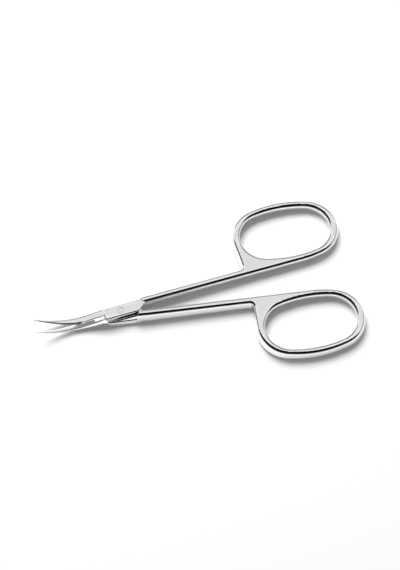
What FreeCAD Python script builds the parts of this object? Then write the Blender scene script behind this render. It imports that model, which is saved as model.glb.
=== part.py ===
import FreeCAD, Part
import math
import os

# Cuticle scissors: two forged halves and the screw they turn on.
# Lengths are in millimetres and angles in degrees.
# The origin is on the pivot axis at the resting plane, X runs to the finger rings and Z is up.
# Each half is drawn with the scissors shut, then turned to the pose of the photograph.

# Pose
half_open = 4.84
full_turn = 360.0

# Joint
joint_height = 3.75
slide_gap = 0.04
shoulder_gap = 0.12
plate_step = 0.12
plate_reach = 5.0
plate_back = 4.8
plate_free_side = 1.72
plate_set_in = 0.65
ledge_set_in = 0.08
plate_corner = 0.6
plate_nose = 2.0
plate_round = 0.4
ledge_round = 0.4
heel_notch = 0.75
heel_notch_at = 6.1
heel_notch_side = 1.7

# Shank
shank_step = 6.8
shank_front = 7.4
shank_inner = 0.45
shank_width = 2.65
handle_round = 0.9
outer_lean = 10.0
web_corner = 1.1

# Finger ring
ring_height = 2.9
ring_length = 31.55
ring_breadth = 20.77
ring_end_flat = 0.885
ring_width = 2.11
ring_far_width = 2.55
ring_end_width = 2.635
hole_end_flat = 0.625
ring_tilt = -4.96
ring_at = 52.6

# Blade
blade_reach = 24.7
blade_overlap = 0.6
blade_edge_side = 1.25
blade_spine_side = 2.0
blade_height = 1.7
spine_slant = 20.0
blade_sink = 0.4
flat_reach = 6.0
belly_at = 12.6
belly_radius = 22.0

# Pivot screw
screw_radius = 1.0
screw_clearance = 0.03
head_radius = 1.35
head_clearance = 0.06
head_height = 0.75
head_recess = 0.08
slot_width = 0.45
slot_depth = 0.3
screw_end_drop = 0.02

# Largest share of a wall's width that the rounding of one of its edges takes
round_share = 0.46

# How far a cutting tool runs past what it cuts
overrun = 3.0

# Stations of the blade, from root to tip: place along it, cutting edge, spine and height
blade_shares = (
    (0.000, 1.00, 1.000, 1.000),
    (0.177, 0.96, 0.750, 0.760),
    (0.365, 0.92, 0.500, 0.490),
    (0.547, 0.80, 0.330, 0.380),
    (0.729, 0.53, 0.225, 0.265),
    (0.887, 0.28, 0.125, 0.180),
    (1.000, 0.12, 0.060, 0.110),
)

UP = FreeCAD.Vector(0, 0, 1)
ORIGIN = FreeCAD.Vector(0, 0, 0)
middle = joint_height / 2
shank_outer = shank_inner + shank_width
hole_length = ring_length - 2 * ring_end_width
hole_breadth = ring_breadth - ring_width - ring_far_width
ring_end_radius = ring_breadth / 2 - ring_end_flat
hole_end_radius = hole_breadth / 2 - hole_end_flat
blade_start = plate_reach - blade_overlap
lean_rate = math.tan(math.radians(outer_lean))
half_turn = math.radians(full_turn / 2)
lowest = -half_turn / 2 - math.radians(ring_tilt)
leftmost = half_turn - math.radians(ring_tilt)


def point(x, y, z=0):
    return FreeCAD.Vector(x, y, z)


def interface_height(radius):
    """Height of the surface that the two blades slide on, a surface turned about the pivot."""
    if radius <= flat_reach:
        return middle
    root_lift = math.sqrt(belly_radius ** 2 - (flat_reach - belly_at) ** 2)
    here_lift = math.sqrt(belly_radius ** 2 - (radius - belly_at) ** 2)
    return middle + root_lift - here_lift


def corner_points(before, corner, after, radius):
    """Start, middle and end of the arc that rounds one corner."""
    back = (before - corner).normalize()
    ahead = (after - corner).normalize()
    half = back.getAngle(ahead) / 2
    run = radius / math.tan(half)
    bisector = (back + ahead).normalize()
    middle_run = radius / math.sin(half) - radius
    return corner + back * run, corner + bisector * middle_run, corner + ahead * run


def rounded_wire(corners):
    """Closed wire of straight runs whose corners (x, y, radius) are rounded."""
    places = [point(x, y) for x, y, _ in corners]
    arcs = []
    for i, (_, _, radius) in enumerate(corners):
        before, here, after = places[i - 1], places[i], places[(i + 1) % len(places)]
        arcs.append(corner_points(before, here, after, radius) if radius else (here, None, here))
    edges = []
    for i, (start, mid, end) in enumerate(arcs):
        if mid is not None:
            edges.append(Part.Arc(start, mid, end).toShape())
        edges.append(Part.makeLine(end, arcs[(i + 1) % len(arcs)][0]))
    return Part.Wire(edges)


def prism(wire, low, high):
    """Upright solid on a flat wire, between two heights."""
    face = Part.Face(wire)
    face.translate(point(0, 0, low))
    return face.extrude(point(0, 0, high - low))


def oval_sides(oval):
    """Radius of an oval's long sides, and the angle at which they meet its rounded ends."""
    half_length, half_breadth, end_radius = oval
    end_out = half_length - end_radius
    spare = half_breadth - end_radius
    side_radius = (end_out ** 2 + half_breadth ** 2 - end_radius ** 2) / (2 * spare)
    return side_radius, math.atan2(side_radius - half_breadth, end_out)


def oval_point(oval, angle):
    """Point of a four-arc oval that faces an angle, with the ring's tilt and its centre at 0."""
    half_length, half_breadth, end_radius = oval
    side_radius, meeting = oval_sides(oval)
    facing = point(math.cos(angle), math.sin(angle))
    if abs(facing.x) >= math.cos(meeting):
        hub = point(math.copysign(half_length - end_radius, facing.x), 0)
        place = hub + facing * end_radius
    else:
        hub = point(0, -math.copysign(side_radius - half_breadth, facing.y))
        place = hub + facing * side_radius
    return FreeCAD.Rotation(UP, ring_tilt).multVec(place)


def oval_arcs(oval, angles, low_side):
    """Arcs of an oval through a run of facing angles, seated on a line along the shank."""
    centre = point(ring_at, low_side - oval_point(oval, lowest).y)
    arcs = []
    for start, end in zip(angles, angles[1:]):
        places = [oval_point(oval, a) + centre for a in (start, (start + end) / 2, end)]
        arcs.append(Part.Arc(*places).toShape())
    return arcs


def handle_outline(inset, level):
    """Plan of the shank, the web and the finger ring, set in on the outer side, at a height."""
    oval = (ring_length / 2 - inset, (ring_breadth - inset) / 2, ring_end_radius - inset / 2)
    meeting = oval_sides(oval)[1]
    rim = oval_arcs(oval, (lowest, -meeting, meeting, half_turn - meeting, leftmost), shank_inner)
    low_point = rim[0].valueAt(rim[0].FirstParameter)
    left_point = rim[-1].valueAt(rim[-1].LastParameter)
    side = shank_outer - inset
    front_low = point(plate_back - plate_corner, shank_inner)
    front_high = point(front_low.x, side)
    bend = corner_points(left_point, point(left_point.x, side), front_high, web_corner)
    edges = [Part.makeLine(front_low, low_point)] + rim + [
        Part.makeLine(left_point, bend[0]),
        Part.Arc(*bend).toShape(),
        Part.makeLine(bend[2], front_high),
        Part.makeLine(front_high, front_low),
    ]
    wire = Part.Wire(edges)
    wire.translate(point(0, 0, level))
    return wire


def finger_hole():
    """Upright cutter for the ring's hole."""
    oval = (hole_length / 2, hole_breadth / 2, hole_end_radius)
    meeting = oval_sides(oval)[1]
    angles = (-meeting, meeting, half_turn - meeting, half_turn + meeting, 2 * half_turn - meeting)
    wire = Part.Wire(oval_arcs(oval, angles, shank_inner + ring_width))
    return prism(wire, -overrun, joint_height + 2 * overrun)


def handle_block():
    """Shank, web and ring with a level top, the outer walls leaning in, and the finger hole."""
    height = joint_height + overrun
    lean = height * lean_rate
    outlines = [handle_outline(0, 0), handle_outline(lean, height)]
    return Part.makeLoft(outlines, True, True).cut(finger_hole())


def handle_wedge():
    """Side view of the handle, whose top falls evenly from the joint to the ring's end."""
    ring_end = ring_at + ring_length / 2
    fall = (joint_height - ring_height) / (ring_end - shank_front)
    near = point(0, -overrun, joint_height + fall * shank_front)
    far = point(ring_end + overrun, -overrun, ring_height - fall * overrun)
    outline = Part.makePolygon([
        point(near.x, near.y),
        point(far.x, far.y),
        far,
        near,
        point(near.x, near.y),
    ])
    return Part.Face(outline).extrude(point(0, ring_breadth + shank_outer + 2 * overrun, 0))


def edge_round():
    """Rounding of the handle's edges, as much as its thinnest wall leaves room for."""
    ring_lean = ring_height * lean_rate
    walls = (
        ring_width,
        ring_far_width - ring_lean,
        ring_end_width - ring_lean,
        shank_width - joint_height * lean_rate,
    )
    return min(handle_round, round_share * min(walls))


def handle():
    """Shank and ring with rounded edges, drawn for the upper half."""
    solid = handle_block().common(handle_wedge())
    front = plate_back - plate_corner
    rims = []
    for edge in solid.Edges:
        box = edge.BoundBox
        upright = box.ZLength > ring_height / 2
        at_front = box.XMax < front + slide_gap
        if not upright and not at_front:
            rims.append(edge)
    return solid.makeFillet(edge_round(), rims)


def plate_outline(side, level, set_in):
    """Plan of a joint plate at a height, drawn for the upper half when side is 1."""
    lean = level * lean_rate
    free_side = -side * plate_free_side
    shank_side = side * (shank_outer - set_in - lean)
    wire = rounded_wire([
        (-plate_reach, free_side, plate_corner),
        (plate_back, free_side, plate_corner),
        (shank_front, side * (shank_inner + ledge_set_in), 0),
        (shank_front, side * (shank_inner + shank_width / 2), 0),
        (shank_step, shank_side, 0),
        (-plate_reach, shank_side, plate_nose),
    ])
    wire.translate(point(0, 0, level))
    return wire


def other_plate_room(low, high):
    """Room for the other half's plate, bounded by the slanted shoulder it stops against."""
    run = (shank_front - plate_back) / (plate_free_side + shank_inner)
    wide = shank_outer + overrun
    base = plate_back + shoulder_gap
    wire = Part.makePolygon([
        point(0, -overrun),
        point(base + run * (plate_free_side + overrun), -overrun),
        point(base + run * (plate_free_side - wide), wide),
        point(0, wide),
        point(0, -overrun),
    ])
    return prism(wire, low, high)


def level_edges(solid, level, least_length):
    """Edges of a solid that lie at one height and are long enough."""
    found = []
    for edge in solid.Edges:
        box = edge.BoundBox
        if abs(box.ZMin - level) + abs(box.ZMax - level) < slide_gap and edge.Length > least_length:
            found.append(edge)
    return found


def plate(low, high, inner_level, outer_level, side):
    """Joint plate with the rim of its outer face rounded, and the long rim beside the other plate."""
    top_set_in = plate_set_in if side > 0 else ledge_set_in
    outlines = [plate_outline(side, low, ledge_set_in), plate_outline(side, high, top_set_in)]
    solid = Part.makeLoft(outlines, True, True)
    solid = solid.makeFillet(plate_round, level_edges(solid, outer_level, 0))
    long_rims = level_edges(solid, inner_level, plate_reach)
    ledge = max(long_rims, key=lambda edge: side * edge.BoundBox.Center.y)
    return solid.makeFillet(ledge_round, [ledge])


def blade_section(shares, side):
    """Three-sided section of a blade, run on past the sliding surface."""
    along, edge_share, spine_share, height_share = shares
    x = -(blade_start + along * (blade_reach - blade_start))
    edge = blade_edge_side * edge_share
    spine = -blade_spine_side * spine_share
    height = blade_height * height_share
    ridge = spine + height * math.tan(math.radians(spine_slant))
    level = interface_height(math.hypot(x, (edge + spine) / 2))
    sink = 1 + blade_sink / height
    top = level + side * height
    low = top - side * height * sink
    corners = [
        point(x, side * (ridge + (edge - ridge) * sink), low),
        point(x, side * ridge, top),
        point(x, side * (ridge + (spine - ridge) * sink), low),
    ]
    return Part.makePolygon(corners + corners[:1])


def beyond_interface(side):
    """Everything on the far side of the sliding surface from one half."""
    half_gap = side * slide_gap / 2
    reach = blade_reach + overrun
    halfway = (flat_reach + reach) / 2
    far = middle - side * (joint_height + overrun)
    flat_end = point(flat_reach, 0, middle + half_gap)
    bow_mid = point(halfway, 0, interface_height(halfway) + half_gap)
    bow_end = point(reach, 0, interface_height(reach) + half_gap)
    edges = [
        Part.makeLine(point(0, 0, far), point(0, 0, middle + half_gap)),
        Part.makeLine(point(0, 0, middle + half_gap), flat_end),
        Part.Arc(flat_end, bow_mid, bow_end).toShape(),
        Part.makeLine(bow_end, point(reach, 0, far)),
        Part.makeLine(point(reach, 0, far), point(0, 0, far)),
    ]
    return Part.Face(Part.Wire(edges)).revolve(ORIGIN, UP, full_turn)


def blade(side):
    """Curved blade, flat on the sliding surface and ground down to its cutting edge."""
    solid = Part.makeLoft([blade_section(row, side) for row in blade_shares], True, False)
    return solid.cut(beyond_interface(side))


def mirrored(solid):
    return solid.mirror(ORIGIN, FreeCAD.Vector(0, 1, 0))


def notch(side):
    """Round relief at the heel of the cutting edge."""
    foot = point(-heel_notch_at, side * heel_notch_side, -overrun)
    return Part.makeCylinder(heel_notch, joint_height + 2 * overrun, foot, UP)


def upper_half():
    low = middle + slide_gap / 2
    top = joint_height - plate_step
    grip = handle().cut(other_plate_room(-overrun, low))
    grip = grip.cut(Part.makeCylinder(shank_step, joint_height, point(0, 0, low), UP))
    solid = grip.fuse(plate(low, top, low, top, 1)).fuse(blade(1)).cut(notch(1))
    return solid.cut(Part.makeCylinder(screw_radius, joint_height, ORIGIN, UP)).removeSplitter()


def lower_half():
    high = middle - slide_gap / 2
    grip = handle().cut(other_plate_room(high, joint_height + overrun))
    grip = mirrored(grip.cut(Part.makeCylinder(shank_step, high, ORIGIN, UP)))
    solid = grip.fuse(plate(0, high, high, 0, -1)).fuse(blade(-1)).cut(notch(-1))
    solid = solid.cut(Part.makeCylinder(screw_radius + screw_clearance, joint_height, ORIGIN, UP))
    pocket = head_recess + head_height + slide_gap
    solid = solid.cut(Part.makeCylinder(head_radius + head_clearance, pocket, ORIGIN, UP))
    return solid.removeSplitter()


def pivot_screw():
    """Slotted screw: its head is sunk in the lower half and its end is ground level on top."""
    foot = point(0, 0, head_recess)
    head = Part.makeCylinder(head_radius, head_height, foot, UP)
    length = joint_height - plate_step - screw_end_drop - head_recess
    body = head.fuse(Part.makeCylinder(screw_radius, length, foot, UP))
    corner = point(-slot_width / 2, -head_radius, head_recess)
    slot = Part.makeBox(slot_width, 2 * head_radius, slot_depth, corner)
    return body.cut(slot).removeSplitter()


def turned(solid, angle):
    copy = solid.copy()
    copy.rotate(ORIGIN, UP, angle)
    return copy


os.makedirs("parts", exist_ok=True)
nodes = {
    "upper_half": turned(upper_half(), half_open),
    "lower_half": turned(lower_half(), -half_open),
    "pivot_screw": turned(pivot_screw(), half_open),
}
for name, shape in nodes.items():
    print(name, shape.isValid(), len(shape.Solids), round(shape.Volume, 2), shape.BoundBox)
    shape.exportStep("parts/" + name + ".step")
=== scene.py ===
import bpy
import math
from mathutils import Matrix, Vector

MM = 0.001

# Camera, from the photograph's perspective
TURN = math.radians(13.086)
ELEVATION = math.radians(59.883)
DISTANCE = 667.0 * MM
PIXELS_PER_METRE = 3.55 / MM
AIM = Vector((0, 0, 3.0 * MM))
AIM_PIXEL = (120.82, 311.5)
IMAGE = (400, 570)
SENSOR = 36.0
CLIP = (0.01, 100.0)

# Directions as the camera sees them, and along and across the scissors
RIGHT = Vector((math.cos(TURN), -math.sin(TURN), 0))
BACKWARD = Vector((math.sin(TURN), math.cos(TURN), 0))
FRONT = -BACKWARD
UP = Vector((0, 0, 1))
TO_RINGS = Vector((1, 0, 0))
TO_TIPS = -TO_RINGS
ACROSS = Vector((0, 1, 0))

# Steel: colour, lowest and highest roughness, polishing lines to the millimetre, depth of the lines
POLISHED = {
    "colour": (0.90, 0.90, 0.905, 1),
    "rough": (0.02, 0.07),
    "line_scale": (0.25, 7.0, 7.0),
    "relief": 0.14,
}
TURNED = {
    "colour": (0.86, 0.86, 0.865, 1),
    "rough": (0.06, 0.16),
    "line_scale": (5.0, 5.0, 5.0),
    "relief": 0.3,
}

# Noise of the lines, patches, pits and ground lines: detail and roughness
LINE_NOISE = (6.0, 0.65)
PATCH_NOISE = (3.0, 0.5)
PIT_NOISE = (2.0, 0.5)
GRIND_NOISE = (5.0, 0.6)

# Where each noise begins and ends to show, and its share of the uneven polish
LINE_RANGE = (0.35, 0.75)
PATCH_RANGE = (0.4, 0.7)
PIT_RANGE = (0.7, 0.8)
GRIND_RANGE = (0.3, 0.7)
LINE_SHARE = 0.6
PATCH_SHARE = 0.4
PATCH_SCALE = (0.35, 0.35, 0.35)
PIT_SCALE = (9.0, 9.0, 9.0)
PIT_HEIGHT = -0.5
LINE_DEPTH = 0.004 * MM

# Softened edges, wider on the blades than elsewhere
EDGE_ROUND = 0.16 * MM
BLADE_ROUND = 0.6 * MM
BLADE_ZONE = (4.2 * MM, 6.0 * MM)
EDGE_SAMPLES = 16

# Dome of the joint plates: how far it reaches, and its fall for the squared distance from the middle
PLATE_ZONE = (3.6 * MM, 7.4 * MM)
PLATE_CROWN = 18.0
PLATE_CROWN_DISTANCE = 1.0

# Ground finish of the blades' sliding faces
GRIND_LINES = (9.0, 0.4, 9.0)
GRIND_ROUGH = (0.18, 0.28)
GRIND_FROM = (4.6 * MM, 5.2 * MM)
GRIND_FACING = (0.6, 0.75)

# Table
TABLE_HALF = 0.6
TABLE_DROP = 0.01 * MM
TABLE_COLOUR = (0.93, 0.93, 0.93, 1)
TABLE_GLOW = 0.03

# Light tent: brightness of its parts, and the leans of a direction between which each part fades in
TENT_COLOUR = (0.8, 0.8, 0.8, 1)
TENT_LIGHT = 1.25
STRIP_LIGHT = 1.0
STRIP_EDGE = (0.03, 0.14)
BAND_LIGHT = 0.3
BAND_START = (0.66, 0.76)
BAND_END = (0.955, 0.985)
RIGHT_LIGHT = 0.5
RIGHT_EDGE = (0.35, 0.9)
OPENING_SLANT = -0.25
OPENING_EDGE = (-0.24, -0.10)
ROOM_LIGHT = (0.3, 0.008)
ROOM_HEIGHT = (0.08, 0.54)
FILL_LIGHT = 0.3

# Key lamp, above and behind the scissors and a little to the left
KEY_WAY = BACKWARD * 0.6 - RIGHT * 0.2 + UP * 0.8
KEY_DISTANCE = 0.9
KEY_SIZE = 0.7
KEY_POWER = 10.8

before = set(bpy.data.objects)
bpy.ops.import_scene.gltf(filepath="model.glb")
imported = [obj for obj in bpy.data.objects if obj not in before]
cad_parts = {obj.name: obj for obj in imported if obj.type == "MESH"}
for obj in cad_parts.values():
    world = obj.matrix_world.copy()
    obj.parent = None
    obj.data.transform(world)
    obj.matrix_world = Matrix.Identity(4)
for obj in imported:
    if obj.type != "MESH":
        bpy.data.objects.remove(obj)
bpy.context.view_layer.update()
scene = bpy.context.scene


class Tree:
    """Short ways to add and join the nodes of a material or the world."""

    def __init__(self, owner):
        owner.use_nodes = True
        self.nodes = owner.node_tree.nodes
        self.links = owner.node_tree.links
        self.nodes.clear()

    def add(self, kind, **settings):
        node = self.nodes.new(kind)
        for name, value in settings.items():
            setattr(node, name, value)
        return node

    def feed(self, socket, value):
        if isinstance(value, bpy.types.NodeSocket):
            self.links.new(value, socket)
        elif value is not None:
            socket.default_value = value

    def math(self, operation, first, second=None, clamp=False):
        node = self.add("ShaderNodeMath", operation=operation, use_clamp=clamp)
        self.feed(node.inputs[0], first)
        self.feed(node.inputs[1], second)
        return node.outputs[0]

    def dot(self, vector, axis):
        node = self.add("ShaderNodeVectorMath", operation="DOT_PRODUCT")
        self.feed(node.inputs[0], vector)
        self.feed(node.inputs[1], tuple(axis))
        return node.outputs["Value"]

    def ramp(self, value, low, high, start=0.0, end=1.0):
        node = self.add("ShaderNodeMapRange", interpolation_type="SMOOTHSTEP")
        self.feed(node.inputs["Value"], value)
        self.feed(node.inputs["From Min"], low)
        self.feed(node.inputs["From Max"], high)
        self.feed(node.inputs["To Min"], start)
        self.feed(node.inputs["To Max"], end)
        return node.outputs["Result"]

    def blend(self, share, first, second):
        node = self.add("ShaderNodeMix", data_type="FLOAT")
        self.feed(node.inputs["Factor"], share)
        self.feed(node.inputs["A"], first)
        self.feed(node.inputs["B"], second)
        return node.outputs["Result"]

    def place(self):
        return self.add("ShaderNodeTexCoord").outputs["Object"]

    def noise(self, scale, detail, roughness):
        """Noise that is stretched by its scale, to the millimetre, in each direction."""
        stretched = self.add("ShaderNodeMapping")
        self.feed(stretched.inputs["Vector"], self.place())
        self.feed(stretched.inputs["Scale"], tuple(s / MM for s in scale))
        node = self.add("ShaderNodeTexNoise")
        self.feed(node.inputs["Vector"], stretched.outputs["Vector"])
        self.feed(node.inputs["Scale"], 1.0)
        self.feed(node.inputs["Detail"], detail)
        self.feed(node.inputs["Roughness"], roughness)
        return node.outputs["Fac"]

    def bump(self, height, distance, normal):
        node = self.add("ShaderNodeBump")
        self.feed(node.inputs["Height"], height)
        self.feed(node.inputs["Distance"], distance)
        self.feed(node.inputs["Normal"], normal)
        return node


def steel(name, colour, rough, line_scale, relief, ground_side=None):
    """Metal with fine lines in one direction, small pits and an uneven polish.

    The blade's sliding face, which looks up on ground_side 1 and down on -1, has a ground finish.
    """
    material = bpy.data.materials.new(name)
    tree = Tree(material)
    out = tree.add("ShaderNodeOutputMaterial")
    shader = tree.add("ShaderNodeBsdfPrincipled")
    tree.feed(shader.inputs["Base Color"], colour)
    tree.feed(shader.inputs["Metallic"], 1.0)
    lines = tree.noise(line_scale, *LINE_NOISE)
    tree.feed(shader.inputs["Roughness"], polish(tree, lines, rough, ground_side))
    pits = tree.ramp(tree.noise(PIT_SCALE, *PIT_NOISE), *PIT_RANGE)
    height = tree.math("ADD", lines, tree.math("MULTIPLY", pits, PIT_HEIGHT))
    dome = tree.bump(plate_crown(tree), PLATE_CROWN_DISTANCE, soft_edge(tree))
    fine = tree.bump(height, LINE_DEPTH, dome.outputs["Normal"])
    tree.feed(fine.inputs["Strength"], relief)
    tree.feed(shader.inputs["Normal"], fine.outputs["Normal"])
    tree.feed(out.inputs["Surface"], shader.outputs["BSDF"])
    return material


def polish(tree, lines, rough, ground_side):
    """Roughness: uneven from lines and patches, and satin on a ground sliding face."""
    patches = tree.noise(PATCH_SCALE, *PATCH_NOISE)
    worn_lines = tree.math("MULTIPLY", tree.ramp(lines, *LINE_RANGE), LINE_SHARE)
    worn_patches = tree.math("MULTIPLY", tree.ramp(patches, *PATCH_RANGE), PATCH_SHARE)
    worn = tree.math("ADD", worn_lines, worn_patches)
    polished = tree.ramp(worn, 0.0, 1.0, *rough)
    if ground_side is None:
        return polished
    satin = tree.ramp(tree.noise(GRIND_LINES, *GRIND_NOISE), *GRIND_RANGE, *GRIND_ROUGH)
    return tree.blend(ground_face(tree, ground_side), polished, satin)


def ground_face(tree, side):
    """1 on the blade's sliding face, 0 elsewhere."""
    facing = tree.dot(tree.add("ShaderNodeNewGeometry").outputs["True Normal"], UP * side)
    beyond = tree.dot(tree.place(), TO_TIPS)
    return tree.math("MULTIPLY", tree.ramp(facing, *GRIND_FACING), tree.ramp(beyond, *GRIND_FROM))


def soft_edge(tree):
    """Normal that rounds sharp edges in the shading."""
    node = tree.add("ShaderNodeBevel", samples=EDGE_SAMPLES)
    on_blade = tree.ramp(tree.dot(tree.place(), TO_TIPS), *BLADE_ZONE)
    tree.feed(node.inputs["Radius"], tree.blend(on_blade, EDGE_ROUND, BLADE_ROUND))
    return node.outputs["Normal"]


def plate_crown(tree):
    """Height of the joint plate's slight dome, which falls to both sides of its middle line."""
    place = tree.place()
    across = tree.dot(place, ACROSS)
    along = tree.math("ABSOLUTE", tree.dot(place, TO_RINGS))
    fall = tree.math("MULTIPLY", tree.math("MULTIPLY", across, across), -PLATE_CROWN)
    return tree.math("MULTIPLY", fall, tree.ramp(along, *PLATE_ZONE, 1.0, 0.0))


def mirror_or_camera(tree):
    """1 for what the camera or a mirror sees, 0 for light that falls on a dull surface."""
    path = tree.add("ShaderNodeLightPath")
    return tree.math("ADD", path.outputs["Is Camera Ray"], path.outputs["Is Glossy Ray"], True)


def floor_material():
    """White table: lit and shaded as it is, and lifted to white for the camera and in reflections."""
    material = bpy.data.materials.new("table_white")
    tree = Tree(material)
    out = tree.add("ShaderNodeOutputMaterial")
    paint = tree.add("ShaderNodeBsdfDiffuse")
    tree.feed(paint.inputs["Color"], TABLE_COLOUR)
    glow = tree.add("ShaderNodeEmission")
    tree.feed(glow.inputs["Strength"], tree.math("MULTIPLY", mirror_or_camera(tree), TABLE_GLOW))
    both = tree.add("ShaderNodeAddShader")
    tree.feed(both.inputs[0], paint.outputs["BSDF"])
    tree.feed(both.inputs[1], glow.outputs["Emission"])
    tree.feed(out.inputs["Surface"], both.outputs["Shader"])
    return material


def table():
    mesh = bpy.data.meshes.new("table")
    corners = [(-1, -1), (1, -1), (1, 1), (-1, 1)]
    mesh.from_pydata([(x * TABLE_HALF, y * TABLE_HALF, 0) for x, y in corners], [], [(0, 1, 2, 3)])
    floor = bpy.data.objects.new("table", mesh)
    scene.collection.objects.link(floor)
    floor.location = (0, 0, -TABLE_DROP)
    mesh.materials.append(floor_material())


def light_tent():
    """White tent over the table, open and dark towards the camera.

    It has a slightly greyer strip where the level tops mirror it, a grey band low at the back and
    a greyer right side. Dull surfaces get an even fill instead.
    """
    world = bpy.data.worlds.new("light_tent")
    scene.world = world
    tree = Tree(world)
    out = tree.add("ShaderNodeOutputWorld")
    back = tree.add("ShaderNodeBackground")
    way = tree.add("ShaderNodeTexCoord").outputs["Generated"]
    ahead = tree.dot(way, FRONT)
    aside = tree.dot(way, RIGHT)
    behind = tree.math("MULTIPLY", ahead, -1.0)
    strip = tree.math("ABSOLUTE", tree.math("ADD", ahead, math.cos(ELEVATION)))
    tent = tree.ramp(strip, *STRIP_EDGE, STRIP_LIGHT, TENT_LIGHT)
    band_end = tree.ramp(behind, *BAND_END, 1.0, 0.0)
    band = tree.math("MULTIPLY", tree.ramp(behind, *BAND_START), band_end)
    tent = tree.blend(band, tent, BAND_LIGHT)
    tent = tree.blend(tree.ramp(aside, *RIGHT_EDGE), tent, RIGHT_LIGHT)
    slant = tree.math("MULTIPLY", aside, OPENING_SLANT)
    opening = tree.ramp(tree.math("ADD", ahead, slant), *OPENING_EDGE)
    room = tree.ramp(tree.dot(way, UP), *ROOM_HEIGHT, *ROOM_LIGHT)
    seen = tree.blend(opening, tent, room)
    tree.feed(back.inputs["Color"], TENT_COLOUR)
    tree.feed(back.inputs["Strength"], tree.blend(mirror_or_camera(tree), FILL_LIGHT, seen))
    tree.feed(out.inputs["Surface"], back.outputs["Background"])


def key_lamp():
    data = bpy.data.lights.new("key_lamp", "AREA")
    data.shape = "DISK"
    data.size = KEY_SIZE
    data.energy = KEY_POWER
    lamp = bpy.data.objects.new("key_lamp", data)
    scene.collection.objects.link(lamp)
    offset = KEY_WAY.normalized() * KEY_DISTANCE
    lamp.location = AIM + offset
    lamp.rotation_mode = "QUATERNION"
    lamp.rotation_quaternion = (-offset).to_track_quat("-Z", "Y")
    lamp.visible_glossy = False


def camera():
    data = bpy.data.cameras.new("camera")
    data.sensor_width = SENSOR
    data.lens = PIXELS_PER_METRE * DISTANCE * SENSOR / max(IMAGE)
    data.clip_start, data.clip_end = CLIP
    view = bpy.data.objects.new("camera", data)
    scene.collection.objects.link(view)
    back = FRONT * math.cos(ELEVATION) + UP * math.sin(ELEVATION)
    upward = back.cross(RIGHT)
    across = (IMAGE[0] / 2 - AIM_PIXEL[0]) / PIXELS_PER_METRE
    over = (AIM_PIXEL[1] - IMAGE[1] / 2) / PIXELS_PER_METRE
    place = AIM + RIGHT * across + upward * over + back * DISTANCE
    facing = Matrix((RIGHT, upward, back)).transposed()
    view.matrix_world = Matrix.Translation(place) @ facing.to_4x4()
    scene.camera = view


finishes = {
    "upper_half": steel("steel_polished_upper", **POLISHED, ground_side=-1),
    "lower_half": steel("steel_polished_lower", **POLISHED, ground_side=1),
    "pivot_screw": steel("steel_turned", **TURNED),
}
for node, finish in finishes.items():
    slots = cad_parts[node].data.materials
    slots.clear()
    slots.append(finish)

light_tent()
key_lamp()
table()
camera()

scene.view_settings.view_transform = "Standard"
